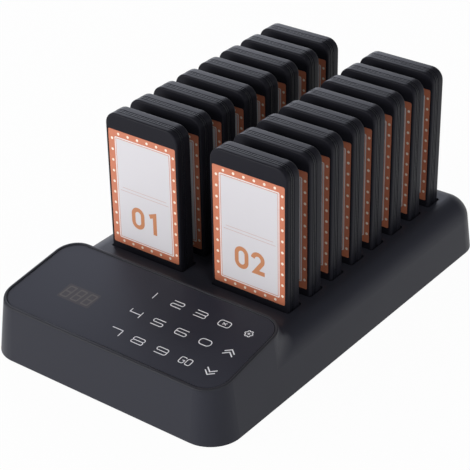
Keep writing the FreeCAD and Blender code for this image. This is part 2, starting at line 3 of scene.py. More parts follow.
import bmesh
import bpy
import numpy as np
from mathutils import Matrix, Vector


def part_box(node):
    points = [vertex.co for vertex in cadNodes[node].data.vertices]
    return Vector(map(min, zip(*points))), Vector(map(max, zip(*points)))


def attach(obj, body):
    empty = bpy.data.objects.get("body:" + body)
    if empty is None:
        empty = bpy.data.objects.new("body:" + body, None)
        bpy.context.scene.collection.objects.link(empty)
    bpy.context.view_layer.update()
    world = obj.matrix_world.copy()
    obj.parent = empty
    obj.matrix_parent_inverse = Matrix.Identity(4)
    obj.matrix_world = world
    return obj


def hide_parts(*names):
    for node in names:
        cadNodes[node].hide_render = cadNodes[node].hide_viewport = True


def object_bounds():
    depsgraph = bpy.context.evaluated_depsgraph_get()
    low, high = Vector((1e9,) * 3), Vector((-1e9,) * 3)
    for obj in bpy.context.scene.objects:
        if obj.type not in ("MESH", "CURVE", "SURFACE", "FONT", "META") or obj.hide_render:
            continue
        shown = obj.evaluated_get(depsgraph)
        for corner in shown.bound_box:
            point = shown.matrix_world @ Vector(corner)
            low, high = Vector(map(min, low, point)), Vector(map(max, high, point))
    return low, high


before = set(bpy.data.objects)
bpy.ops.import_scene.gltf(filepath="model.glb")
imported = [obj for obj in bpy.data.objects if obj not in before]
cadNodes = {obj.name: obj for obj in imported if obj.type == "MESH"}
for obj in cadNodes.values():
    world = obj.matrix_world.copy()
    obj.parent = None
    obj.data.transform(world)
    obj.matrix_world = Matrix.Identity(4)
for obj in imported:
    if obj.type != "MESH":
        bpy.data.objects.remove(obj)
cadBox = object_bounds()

# Guest pager set: sloped touch console, charging tray and sixteen pagers with number cards.
# Values are in millimetres and degrees unless a note says otherwise; the meshes are in metres.
mm = 0.001
sharpTurn = 35
pagerCount = 16
lowCorner, highCorner = [np.array(corner) for corner in cadBox]


# Small tools

def linearColour(hexText):
    # sRGB to linear, channel by channel: c / 12.92 up to 0.04045,
    # above it ((c + 0.055) / 1.055) to the power 2.4; the fourth value is full opacity
    channels = np.array([int(hexText[i:i + 2], 16) for i in (1, 3, 5)]) / 255.0
    linear = np.where(channels <= 0.04045, channels / 12.92, ((channels + 0.055) / 1.055) ** 2.4)
    return (*linear, 1.0)


def addNode(tree, kind, settings=None, links=None):
    # settings go to the input of that name or number, or else to the node's own property
    node = tree.nodes.new(kind)
    for key, value in (settings or {}).items():
        if isinstance(key, int) or key in node.inputs:
            node.inputs[key].default_value = value
        else:
            setattr(node, key, value)
    for key, output in (links or {}).items():
        tree.links.new(output, node.inputs[key])
    return node


def newMaterial(name):
    material = bpy.data.materials.new(name)
    material.use_nodes = True
    material.node_tree.nodes.clear()
    return material, material.node_tree


def plainFinish(name, colour, roughness, specular=0.5, **shader):
    # one even surface with no pattern, for thin print and small metal
    material, tree = newMaterial(name)
    values = {"Base Color": linearColour(colour), "Roughness": roughness, "Specular IOR Level": specular}
    body = addNode(tree, "ShaderNodeBsdfPrincipled", {**values, **shader})
    addNode(tree, "ShaderNodeOutputMaterial", links={"Surface": body.outputs["BSDF"]})
    return material


def grainedFinish(name, colour, roughness, specular=0.5, grain=1.0, relief=0.003, wander=0.05, drift=35):
    # a fine grain as bump, and a slow drift in roughness by wander, as on any handled moulding
    material, tree = newMaterial(name)
    place = addNode(tree, "ShaderNodeTexCoord").outputs["Object"]
    fine = addNode(tree, "ShaderNodeTexNoise", {"Scale": 1 / (grain * mm), "Detail": 2.0}, {"Vector": place})
    slow = addNode(tree, "ShaderNodeTexNoise", {"Scale": 1 / (drift * mm), "Detail": 3.0}, {"Vector": place})
    spread = {"To Min": roughness - wander, "To Max": roughness + wander}
    rough = addNode(tree, "ShaderNodeMapRange", spread, {"Value": slow.outputs["Fac"]})
    bump = addNode(tree, "ShaderNodeBump", {"Strength": 1.0, "Distance": relief * mm},
                   {"Height": fine.outputs["Fac"]})
    body = addNode(tree, "ShaderNodeBsdfPrincipled",
                   {"Base Color": linearColour(colour), "Specular IOR Level": specular},
                   {"Roughness": rough.outputs["Result"], "Normal": bump.outputs["Normal"]})
    addNode(tree, "ShaderNodeOutputMaterial", links={"Surface": body.outputs["BSDF"]})
    return material


def makePiece(name, vertices, faces, material, body, repair=True):
    # vertices in millimetres; edges that turn more than sharpTurn stay crisp
    mesh = bpy.data.meshes.new(name)
    mesh.from_pydata((np.asarray(vertices) * mm).tolist(), [], [list(face) for face in faces])
    if repair:
        cage = bmesh.new()
        cage.from_mesh(mesh)
        bmesh.ops.recalc_face_normals(cage, faces=cage.faces)
        cage.to_mesh(mesh)
        cage.free()
    mesh.polygons.foreach_set("use_smooth", np.ones(len(mesh.polygons), dtype=bool))
    mesh.set_sharp_from_angle(angle=math.radians(sharpTurn))
    mesh.materials.append(material)
    piece = bpy.data.objects.new(name, mesh)
    bpy.context.scene.collection.objects.link(piece)
    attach(piece, body)
    return piece


def loftFaces(rows, columns, capped=True):
    # quads between neighbouring closed loops, with a flat face over the first and last loop if capped
    row, column = np.meshgrid(np.arange(rows - 1), np.arange(columns), indexing="ij")
    beside = (column + 1) % columns
    quads = np.stack([row * columns + column, row * columns + beside,
                      (row + 1) * columns + beside, (row + 1) * columns + column], axis=-1).reshape(-1, 4)
    faces = quads.tolist()
    if capped:
        faces.append(list(range(columns))[::-1])
        faces.append(list(range((rows - 1) * columns, rows * columns)))
    return faces


def roundedLoop(left, right, low, high, lowRadius, highRadius, inset=0.0, steps=7):
    # four corner arcs: each point is the corner's centre plus (radius - inset) times (cos, sin) of its angle
    turn = np.radians(np.linspace(0, 90, steps + 1))
    corners = [(left + lowRadius, low + lowRadius, lowRadius, 180),
               (right - lowRadius, low + lowRadius, lowRadius, 270),
               (right - highRadius, high - highRadius, highRadius, 0),
               (left + highRadius, high - highRadius, highRadius, 90)]
    arcs = [np.stack([x + (r - inset) * np.cos(turn + math.radians(start)),
                      z + (r - inset) * np.sin(turn + math.radians(start))], axis=-1)
            for x, z, r, start in corners]
    return np.concatenate(arcs)


def quarterRound(radius, steps=5):
    # (depth, inset) pairs round an edge: depth r (1 - cos a), inset r (1 - sin a), with a from 0 to 90
    turn = np.radians(np.linspace(0, 90, steps + 1))
    return np.stack([radius * (1 - np.cos(turn)), radius * (1 - np.sin(turn))], axis=-1)


def roundedPath(points, radii, steps=5, closed=False):
    # a polyline whose corners are swept by arcs; an arc takes at most half of the shorter side beside it
    points = [np.array(point, float) for point in points]
    if closed:
        corners = list(zip(points[-1:] + points[:-1], points, points[1:] + points[:1], radii))
        swept = []
    else:
        corners = list(zip(points, points[1:], points[2:], radii))
        swept = [points[0][None]]
    for before, corner, after, radius in corners:
        toBefore, toAfter = before - corner, after - corner
        room = min(np.linalg.norm(toBefore), np.linalg.norm(toAfter)) * 0.499
        toBefore /= np.linalg.norm(toBefore)
        toAfter /= np.linalg.norm(toAfter)
        half = math.acos(np.clip(toBefore @ toAfter, -1, 1)) / 2
        radius = min(radius, room * math.tan(half))
        if radius <= 0:
            swept.append(corner[None])
            continue
        middle = toBefore + toAfter
        centre = corner + middle / np.linalg.norm(middle) * radius / math.sin(half)
        start = corner + toBefore * radius / math.tan(half) - centre
        end = corner + toAfter * radius / math.tan(half) - centre
        share = np.linspace(0, 1, steps + 1)[:, None]
        sweep = math.pi - 2 * half
        turned = np.sin((1 - share) * sweep) * start + np.sin(share * sweep) * end
        swept.append(centre + turned / math.sin(sweep))
    if not closed:
        swept.append(points[-1][None])
    return np.concatenate(swept)


def arc(x, y, radius, start, end, steps=14):
    turn = np.radians(np.linspace(start, end, steps + 1))
    return np.stack([x + radius * np.cos(turn), y + radius * np.sin(turn)], axis=-1)


def strokeMesh(path, width, closed=False):
    # a flat ribbon: both borders are the path moved half the width along the mitred normal,
    # which stands between the normals of the two runs that meet there
    path = np.asarray(path, float)
    steps = np.linalg.norm(path - np.roll(path, 1, axis=0), axis=1)
    if not closed:
        steps[0] = 1
    path = path[steps > 1e-6]
    ahead = np.roll(path, -1, axis=0) - path
    behind = path - np.roll(path, 1, axis=0)
    if not closed:
        ahead[-1] = behind[-1]
        behind[0] = ahead[0]
    ahead /= np.linalg.norm(ahead, axis=1, keepdims=True)
    behind /= np.linalg.norm(behind, axis=1, keepdims=True)
    tangent = ahead + behind
    tangent /= np.linalg.norm(tangent, axis=1, keepdims=True)
    normal = np.stack([-tangent[:, 1], tangent[:, 0]], axis=-1)
    aheadNormal = np.stack([-ahead[:, 1], ahead[:, 0]], axis=-1)
    # a mitre reaches at most about three times half the width
    mitre = 1 / np.clip((normal * aheadNormal).sum(axis=1), 0.35, 1)
    reach = normal * (mitre * width / 2)[:, None]
    count = len(path)
    flat = np.concatenate([path + reach, path - reach])
    first = np.arange(count if closed else count - 1)
    second = (first + 1) % count
    quads = np.stack([first, second, second + count, first + count], axis=-1)
    return flat, quads.tolist()


def onPlane(flatShapes, origin, across, along, outwards, thickness):
    # flat shapes given as (points, faces) laid on a plane as one thin closed sheet each
    vertices, faces, start = [], [], 0
    for points, shapeFaces in flatShapes:
        points = np.asarray(points)
        base = origin + points[:, :1] * across + points[:, 1:] * along
        count = len(points)
        vertices += [base, base + outwards * thickness]
        edges = {}
        for face in shapeFaces:
            faces.append([start + i for i in face[::-1]])
            faces.append([start + count + i for i in face])
            for a, b in zip(face, list(face[1:]) + [face[0]]):
                edges[(a, b)] = True
        for a, b in edges:
            if (b, a) not in edges:
                faces.append([start + a, start + b, start + count + b, start + count + a])
        start += 2 * count
    return np.concatenate(vertices), faces


def filled(loop):
    return loop, [list(range(len(loop)))]


def disc(x, y, radius, sides=14):
    turn = np.linspace(0, 2 * np.pi, sides, endpoint=False)
    return filled(np.stack([x + radius * np.cos(turn), y + radius * np.sin(turn)], axis=-1))


def moved(shapes, x, y):
    return [(np.asarray(points) + (x, y), faces) for points, faces in shapes]


# Finishes

finishes = {
    # ABS from an evenly spark-eroded mould: soft satin, highlights spread wide
    "casing": grainedFinish("satinBlackAbs", "#31323a", 0.42, 0.17, grain=0.8, relief=0.010),
    # hard-coated acrylic panel: a little smoother and bluer than the casing round it
    "panel": grainedFinish("hardCoatedAcrylic", "#2d2e38", 0.40, 0.23, grain=1.2, relief=0.004, wander=0.04),
    # ABS from a finely polished mould: clear lines of light on the round edges
    "pager": grainedFinish("semiGlossBlackAbs", "#232329", 0.34, 0.07, grain=0.9),
    # smoked polycarbonate that the lamps shine through: darker and smoother than the shells
    "band": plainFinish("smokedPolycarbonate", "#1d1e24", 0.28, 0.13, IOR=1.58),
    # dull black feet, green boards and shiny gold contacts, mostly out of sight
    "rubber": grainedFinish("mattRubber", "#141415", 0.75, grain=0.8, relief=0.02),
    "board": grainedFinish("solderMask", "#1d4a2c", 0.35, grain=1.5, relief=0.004),
    "contact": plainFinish("goldPlatedBrass", "#d9b45a", 0.28, Metallic=1.0),
    # shiny black inlet and switch, set off from the satin casing
    "connector": grainedFinish("glossyPbt", "#131417", 0.22),
    # offset print under a satin film: even colours with a soft sheen
    "cardBorder": plainFinish("orangePrintFilm", "#d5805f", 0.42),
    "cardBulb": plainFinish("creamPrintFilm", "#fff1e0", 0.42),
    "cardWhite": plainFinish("whitePrintFilm", "#f4efee", 0.42),
    "cardField": plainFinish("paleGreyPrintFilm", "#e2dfe2", 0.42),
    "cardFigure": plainFinish("amberPrintFilm", "#cf8c62", 0.42),
    "cardRule": plainFinish("rosePrintFilm", "#d3b7b1", 0.42),
    # white screen print on the underside of the clear panel
    "legend": plainFinish("whiteScreenPrint", "#f8f8fa", 0.45),
    # the dark edge round the panel: a bead a little duller and darker than the walls, its darker colour
    # painted shade for the band of shadow along the edge, and a black joint
    "rim": plainFinish("satinAbsPaintedShade", "#2b2c32", 0.48, 0.3),
    "joint": plainFinish("shadowedJoint", "#060607", 0.8, 0.1),
    # smoked display with its digits off: brownish, barely lighter than the panel
    "window": plainFinish("smokedDisplayFilm", "#3a3639", 0.40, 0.3),
    "segment": plainFinish("unlitSegment", "#544e4c", 0.45, 0.3),
}
cadFinishes = {
    "casing": ("upper_casing", "bottom_cover"),
    "panel": ("touch_panel",),
    "rubber": ("rubber_feet",),
    "board": ("charging_board", "control_board"),
    "contact": ("charging_contacts", "inlet_pin"),
    "window": ("digit_display",),
    "connector": ("dc_inlet", "switch_housing", "switch_rocker"),
}
for finish, nodes in cadFinishes.items():
    for node in nodes:
        cadNodes[node].data.materials.clear()
        cadNodes[node].data.materials.append(finishes[finish])
print("finishes ready:", len(finishes))


# Pagers

pagerShape = {
    "width": 50.6,
    "height": 97.8,
    "shoulder": 7.4,        # round of the two upper corners
    "foot": 3.4,            # round of the two lower corners, inside the slot
    "frontEdge": 0.9,
    "backEdge": 2.0,
    "bezelDepth": 3.3,
    "bandDepth": 2.9,
    "thickness": 12.2,
    "groove": 0.40,         # depth of the grooves beside the band
    "grooveWidth": 0.38,
    "grooveBevel": 0.15,
    "crown": 0.18,          # height of the rounding on the band's two ridges
    "crownDrop": 0.2,       # top of that rounding below the shells' face, as a share of its height
}
cardShape = {
    "width": 47.3,
    "height": 72.0,
    "bottom": 15.8,         # above the pager's foot
    "corner": 0.9,
    "gap": 0.15,
    "inset": 0.1,           # behind the bezel's face
    "thickness": 0.5,
    "border": 3.9,
    "printShift": 0.5,      # print a little to the right on the card
    "whiteBand": 0.7,
    "thinLine": 0.35,
    "printCorners": (0.9, 0.5, 0.4),    # of the white band, the thin line and the field
    "bulbRadius": 0.85,
    "bulbInset": 2.05,
    "bulbsAcross": 6,
    "bulbsDown": 10,
    "bulbPitch": 6.75,
    "figureHeight": 13.7,
    "figureWidth": 9.2,
    "figureStroke": 2.6,
    "figureSpacing": 10.8,
    "figureMiddle": 20.3,   # above the card's lower edge
    "ruleLevels": (35.2, 37.2),
    "ruleLengths": (34.5, 31.5),
    "ruleWidth": 0.3,
    "film": 0.02,           # each layer of print
}


def figurePaths(figure, w, h, stroke):
    # centre lines of a plain geometric figure, w half its width and h its height, foot at zero;
    # a stroke that meets another one ends at its border
    butt = stroke / 2
    bowl, bar, crossbar = h * 0.56, h * 0.52, h * 0.24
    oneStem, fourStem, fiveStem, tail = w * 0.4, w * 0.45, -w * 0.82, -w * 0.35
    oval = (True, roundedLoop(-w, w, 0, h, w, w, steps=12))
    three = [(-w, h * 0.84), (-w, h), (w, h), (w, 0), (-w, 0), (-w, h * 0.16)]
    six = [*arc(0, h - w, w, 25, 180), *arc(0, w, w, 180, 360), *arc(0, bowl - w, w, 0, 165)]
    loops = {
        "0": [oval],
        "1": [(False, [(-w * 0.72, h * 0.87), (oneStem, h), (oneStem, -butt)])],
        "2": [(False, [*arc(0, h - w, w, 172, -46), (butt * 1.25 - w, 0), (w + butt, 0)])],
        "3": [(False, roundedPath(three, [w] * 4, 8)), (False, [(tail, bar), (w - butt, bar)])],
        "4": [(False, [(fourStem, -butt), (fourStem, h), (-w, crossbar), (fourStem - butt, crossbar)]),
              (False, [(fourStem + butt, crossbar), (w + butt, crossbar)])],
        "5": [(False, [(w + butt, h), (fiveStem, h), (fiveStem, bowl), *arc(0, w, w, 90, -160)])],
        "6": [(False, six)],
        "7": [(False, [(-w - butt, h), (w, h), (tail, -butt)])],
        "8": [oval, (False, [(butt - w, bar), (w - butt, bar)])],
        "9": [(False, np.array([0, h]) - np.array(six))],
    }
    return [(closed, np.array(path, float)) for closed, path in loops[figure]]


def figureShapes(text, spacing, width, height, stroke):
    # the figures of a number, centred on zero
    shapes = []
    for place, figure in enumerate(text):
        x = (place - (len(text) - 1) / 2) * spacing
        for closed, path in figurePaths(figure, (width - stroke) / 2, height - stroke, stroke):
            shapes += moved([strokeMesh(path, stroke, closed)], x, (stroke - height) / 2)
    return shapes


def standing(flat, depth, place):
    # an outline seen from the front, stood up at a depth behind the pager's face
    middle, face, foot = place
    return np.stack([middle + flat[:, 0], np.full(len(flat), face + depth), foot + flat[:, 1]], axis=-1)


def pagerLoops(profile, place):
    # the front outline carried back: at each depth the outline shrinks by that depth's inset
    half, high = pagerShape["width"] / 2, pagerShape["height"]
    return [standing(roundedLoop(-half, half, 0, high, pagerShape["foot"], pagerShape["shoulder"], inset),
                     depth, place) for depth, inset in profile]


def cardLoop(grow, depth, place):
    half = cardShape["width"] / 2 + grow
    low = cardShape["bottom"] - grow
    high = cardShape["bottom"] + cardShape["height"] + grow
    corner = cardShape["corner"] + grow
    return standing(roundedLoop(-half, half, low, high, corner, corner), depth, place)


def makePager(number):
    frontNode = "pager_%s_front_shell" % number
    low, high = [np.array(corner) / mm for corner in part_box(frontNode)]
    middle, face, foot = place = (low[0] + high[0]) / 2, low[1], low[2]
    body = "pager_" + number
    shape, card = pagerShape, cardShape
    groove, wide, bevel = shape["groove"], shape["grooveWidth"], shape["grooveBevel"]
    bezel, bandEnd = shape["bezelDepth"], shape["bezelDepth"] + shape["bandDepth"]

    def lofted(name, loops, finish, node=None):
        loops = np.array(loops)
        faces = loftFaces(*loops.shape[:2])
        piece = makePiece(name + number, loops.reshape(-1, 3), faces, finishes[finish], body)
        if node:
            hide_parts(node)

    # front shell: recess for the card, flat face, round edge, side wall, groove
    side = bezel - wide / 2
    profile = [*quarterRound(shape["frontEdge"]), (side - bevel, 0), (side, bevel), (side, groove),
               (bezel, groove)]
    loops = [cardLoop(card["gap"], card["inset"] + card["thickness"], place),
             cardLoop(card["gap"], 0, place), *pagerLoops(profile, place)]
    lofted("pagerBezel", loops, "pager", frontNode)

    # light band: two ridges between three grooves, each crest half an ellipse
    ridgeWidth = (shape["bandDepth"] - 2 * wide) / 2
    profile = [(bezel, groove)]
    for start in (bezel + wide / 2, bezel + wide * 1.5 + ridgeWidth):
        end = start + ridgeWidth
        sweep = np.radians(np.linspace(0, 180, 9))
        depths = (start + end) / 2 - ridgeWidth / 2 * np.cos(sweep)
        insets = shape["crown"] * (1 + shape["crownDrop"] - np.sin(sweep))
        profile += [(start, groove), *zip(depths, insets), (end, groove)]
    profile.append((bandEnd, groove))
    lofted("pagerBand", pagerLoops(profile, place), "band")

    # back shell: side wall and a round back edge
    side = bandEnd + wide / 2
    profile = [(bandEnd, groove), (side, groove), (side, bevel), (side + bevel, 0)]
    edge = quarterRound(shape["backEdge"], 7)[::-1]
    profile += [(shape["thickness"] - depth, inset) for depth, inset in edge]
    backNode = "pager_%s_back_shell" % number
    lofted("pagerBack", pagerLoops(profile, place), "pager", backNode)

    # card with an orange border
    front, back = card["inset"], card["inset"] + card["thickness"]
    loops = [cardLoop(0, front, place), cardLoop(0, back, place)]
    lofted("card", loops, "cardBorder", "pager_%s_card" % number)

    # print, layer on layer towards the front
    across, along, outwards = np.array([1.0, 0, 0]), np.array([0, 0, 1.0]), np.array([0, -1.0, 0])
    cardMiddle = card["bottom"] + card["height"] / 2
    printMiddle = np.array([middle + card["printShift"], face + front, foot + cardMiddle])

    def printed(name, shapes, layer, finish):
        origin = printMiddle + layer * card["film"] * outwards
        vertices, faces = onPlane(shapes, origin, across, along, outwards, card["film"])
        makePiece(name + number, vertices, faces, finishes[finish], body, repair=False)

    halfWidth, halfHeight = card["width"] / 2, card["height"] / 2

    def inner(shrink, corner):
        wide, high = halfWidth - shrink, halfHeight - shrink
        return filled(roundedLoop(-wide, wide, -high, high, corner, corner))

    bulbX = (np.arange(card["bulbsAcross"]) - (card["bulbsAcross"] - 1) / 2) * card["bulbPitch"]
    bulbY = (np.arange(card["bulbsDown"]) - (card["bulbsDown"] - 1) / 2) * card["bulbPitch"]
    edgeX, edgeY = halfWidth - card["bulbInset"], halfHeight - card["bulbInset"]
    bulbs = [disc(x, side * edgeY, card["bulbRadius"]) for x in bulbX for side in (-1, 1)]
    bulbs += [disc(side * edgeX, y, card["bulbRadius"]) for y in bulbY for side in (-1, 1)]
    printed("cardBulbs", bulbs, 0, "cardBulb")
    whiteCorner, lineCorner, fieldCorner = card["printCorners"]
    printed("cardWhite", [inner(card["border"], whiteCorner)], 0, "cardWhite")
    lineInset = card["border"] + card["whiteBand"]
    printed("cardLine", [inner(lineInset, lineCorner)], 1, "cardBorder")
    printed("cardField", [inner(lineInset + card["thinLine"], fieldCorner)], 2, "cardField")
    rules = []
    for level, length in zip(card["ruleLevels"], card["ruleLengths"]):
        ends = [(-length / 2, level - halfHeight), (length / 2, level - halfHeight)]
        rules.append(strokeMesh(ends, card["ruleWidth"]))
    printed("cardRules", rules, 3, "cardRule")
    figures = figureShapes(number, card["figureSpacing"], card["figureWidth"], card["figureHeight"],
                           card["figureStroke"])
    printed("cardNumber", moved(figures, 0, card["figureMiddle"] - halfHeight), 3, "cardFigure")


for number in range(1, pagerCount + 1):
    makePager(format(number, "02d"))
print("pagers ready:", pagerCount)


# Console

console = {
    "slope": 8.7,
    "front": lowCorner[1] / mm,     # foot of the front wall
    "frontHeight": 32.5,
    "panelDrop": 0.05,              # panel's face below the rim
    "film": 0.02,
    "rimFront": 4.05,               # console's front edge up the slope, from over the foot of the wall
    "halfWidth": highCorner[0] / mm,
    "wallHeight": 31.0,             # front wall, foot to sloped top
    "length": 73.0,
    "draft": 7.1,
    "frontCorner": 14.6,            # plan corners at the sloped top
    "backCorner": 13.3,
    "beadStart": 0.02,              # inside the casing's upper edge
    "beadWidth": 1.75,
    "beadRise": 0.45,
    "beadDepth": 0.05,              # where the bead meets the casing, below its top
    "beadFullness": 0.6,            # power of the sine that shapes the bead, flatter below 1
    "beadFoot": 0.5,                # hidden underside
    "jointWidth": 0.28,
    "jointFloor": 0.02,             # depth of the joint's floor below the casing's top
    "jointDepth": 0.3,
    "jointLip": (0.04, 0.08),       # width and height of the dark lip beside the bead
    "wallFoot": 1.5,                # the walls lean in from here
    "footCorner": 18.5,             # plan corners there
    "trayHeight": 34.0,
    "trayRound": 13.5,              # from the tray down to the side walls
    "blendRadius": 8.0,             # hollow round between the console's back wall and the tray
    "cornerBlendRadius": 36.0,      # the same where it runs out on the side walls
    "blendEnd": 88.5,               # turn of the wall's normal, from straight back, where it stops
    "blendSunk": 0.4,               # depth of its hidden side in the casing
}
keypad = {
    "columns": [-0.6, 15.1, 30.9, 46.7, 62.5],
    "rows": [47.9, 31.2, 14.5],     # up the slope from the rim's front edge
    "width": 7.8,
    "height": 4.95,
    "stroke": 0.52,
    "chevronStroke": 0.68,
    "gearRadius": 2.12,
    "corner": 1.25,
}
display = {
    "x": -37.4,
    "y": 27.1,
    "width": 22.6,
    "height": 11.9,
    "corner": 0.6,
    "figureWidth": 4.3,
    "figureHeight": 8.6,
    "figureCorner": 0.5,
    "spacing": 7.5,
    "stroke": 1.0,
    "lean": 0.1,                    # across, for each millimetre up
}


def keypadPaths(sign, w, h, r, stroke):
    # centre lines of the keypad's wide square signs, centred on zero, w and h half their sizes;
    # a stroke that meets another one ends at its border
    butt = stroke / 2
    snake = [(w, h), (-w, h), (-w, 0), (w, 0), (w, -h), (-w, -h)]
    hook = [(w, h), (-w, h), (-w, -h), (w, -h), (w, 0), (butt - w, 0)]
    tight = r * 0.8
    crossX, crossY, knot = w * 0.34, h * 0.36, 0.3
    waist, notch = 0.8, 0.5
    letter = w * 0.16
    chevron, peak, drop = w * 0.86, h * 1.15, h * 1.07
    shapes = {
        "1": [(False, [(0, -h - butt), (0, h + butt)])],
        "2": [(False, roundedPath([(-x, y) for x, y in snake], [r, tight, tight, r]))],
        "3": [(False, roundedPath([(-w, h), (w, h), (w, 0), (-w, 0)], [r, waist])),
              (False, roundedPath([(w - notch, -butt), (w, -waist), (w, -h), (-w, -h)], [notch, r]))],
        "4": [(False, [(-w, h + butt), (-w, 0), (w - butt, 0)]), (False, [(w, h + butt), (w, -h - butt)])],
        "5": [(False, roundedPath(snake, [r, tight, tight, r]))],
        "6": [(False, roundedPath(hook, [r, r, r, tight]))],
        "7": [(False, roundedPath([(-w, h), (w, h), (w, -h - butt)], [0.3]))],
        "8": [(True, roundedLoop(-w, w, 0, h, waist, r)),
              (False, roundedPath([(notch - w, -butt), (-w, -waist), (-w, -h), (w, -h), (w, -waist),
                                   (w - notch, -butt)], [notch, r, r, notch]))],
        "9": [(False, roundedPath([(-x, -y) for x, y in hook], [r, r, r, tight]))],
        "0": [(True, roundedLoop(-w, w, -h, h, h * 0.95, h * 0.95))],
        "clear": [(True, roundedLoop(-w, w, -h, h, r * 1.2, r * 1.2)),
                  (False, [(-crossX, -crossY), (crossX, crossY)]),
                  (False, [(-crossX, crossY), (-knot, knot * 0.6)]),
                  (False, [(knot, -knot * 0.6), (crossX, -crossY)])],
        "go": [(False, roundedPath([(-letter, h * 0.7), (-letter, h), (-w, h), (-w, -h), (-letter, -h),
                                    (-letter, 0), (-w * 0.55, 0)], [tight, tight, tight, tight, 0])),
               (True, roundedLoop(letter, w, -h, h, tight, tight))],
        "up": [(False, [(-chevron, low), (0, low + peak), (chevron, low)]) for low in (-drop, h - drop)],
    }
    shapes["down"] = [(False, [(x, -y) for x, y in path]) for closed, path in shapes["up"]]
    return [(closed, np.array(path, float)) for closed, path in shapes[sign]]


def gearPaths(radius, teeth=6, swell=0.13, squareness=2.2, hub=0.22):
    # a toothed ring: the radius swells with the cosine of the angle times the teeth, squared off by a tanh
    turn = np.linspace(0, 2 * np.pi, 72, endpoint=False)
    reach = radius * (1 + swell * np.tanh(squareness * np.cos(teeth * turn)))
    return [(True, np.stack([reach * np.cos(turn), reach * np.sin(turn)], axis=-1)),
            (True, arc(0, 0, radius * hub, 0, 340, 17))]


slopeTurn = math.radians(console["slope"])
panelAcross = np.array([1.0, 0, 0])
panelAlong = np.array([0, math.cos(slopeTurn), math.sin(slopeTurn)])
panelOut = np.array([0, -math.sin(slopeTurn), math.cos(slopeTurn)])
rimStart = (np.array([0, console["front"], console["frontHeight"]])
            + console["rimFront"] * panelAlong - console["panelDrop"] * panelOut)


def panelPrint(name, shapes, layer, finish):
    origin = rimStart + layer * console["film"] * panelOut
    vertices, faces = onPlane(shapes, origin, panelAcross, panelAlong, panelOut, console["film"])
    makePiece(name, vertices, faces, finishes[finish], "base", repair=False)


# Rounded bead on the console's upper edge and the dark joint inside it.
# Each loop is the console's upper outline moved inwards by an inset and lowered by a depth.
lean = math.tan(math.radians(console["draft"]))
rise = math.tan(slopeTurn)
frontSetback = console["wallHeight"] * lean / (1 - rise * lean)
backSetback = (console["wallHeight"] + console["length"] * rise) * lean / (1 + rise * lean)
frontHalf, backHalf = console["halfWidth"] - frontSetback, console["halfWidth"] - backSetback
frontLine = frontSetback / math.cos(slopeTurn)
backLine = (console["length"] - backSetback) / math.cos(slopeTurn)
edgeStart = np.array([0, console["front"], console["frontHeight"]])


def rimLoop(inset, depth):
    corners = [(inset - frontHalf, frontLine + inset), (frontHalf - inset, frontLine + inset),
               (backHalf - inset, backLine - inset), (inset - backHalf, backLine - inset)]
    radii = [console["frontCorner"] - inset] * 2 + [console["backCorner"] - inset] * 2
    flat = roundedPath(corners, radii, 12, closed=True)
    return edgeStart + flat[:, :1] * panelAcross + flat[:, 1:] * panelAlong - depth * panelOut


def rimPiece(name, section, finish):
    loops = np.array([rimLoop(inset, depth) for inset, depth in section])
    rows, columns = loops.shape[:2]
    faces = loftFaces(rows, columns, capped=False)
    first = np.arange(columns)
    second = (first + 1) % columns
    last = (rows - 1) * columns
    faces += np.stack([last + first, last + second, second, first], axis=-1).tolist()
    makePiece(name, loops.reshape(-1, 3), faces, finishes[finish], "base")


beadStart, beadHalf, beadDepth = console["beadStart"], console["beadWidth"] / 2, console["beadDepth"]
sweep = np.radians(np.linspace(180, 0, 13))
beadInsets = beadStart + beadHalf + beadHalf * np.cos(sweep)
beadDepths = beadDepth - (console["beadRise"] + beadDepth) * np.sin(sweep) ** console["beadFullness"]
beadEnd = beadStart + console["beadWidth"]
# the bead takes the rim finish, whose darker colour is painted shade for the band of shadow along the
# console's edge
rimPiece("consoleBead", [*zip(beadInsets, beadDepths), (beadEnd, console["beadFoot"]),
                         (beadStart, console["beadFoot"])], "rim")
jointEnd = beadEnd + console["jointWidth"]
lipWidth, lipHeight = console["jointLip"]
lipEnd, jointFloor, jointDepth = beadEnd + lipWidth, console["jointFloor"], console["jointDepth"]
rimPiece("panelJoint", [(beadEnd, jointDepth), (beadEnd, -lipHeight), (lipEnd, -lipHeight),
                        (lipEnd, jointFloor), (jointEnd, jointFloor), (jointEnd, jointDepth)], "joint")
# the panel's edge: inset past the joint and depth, with a small bevel up to its face
panelEdge = [(0.0, 0.06), (0.0, 0.0), (0.14, -0.05), (0.4, -0.05), (0.5, 0.04)]
rimPiece("panelEdge", [(jointEnd + inset, depth) for inset, depth in panelEdge], "panel")


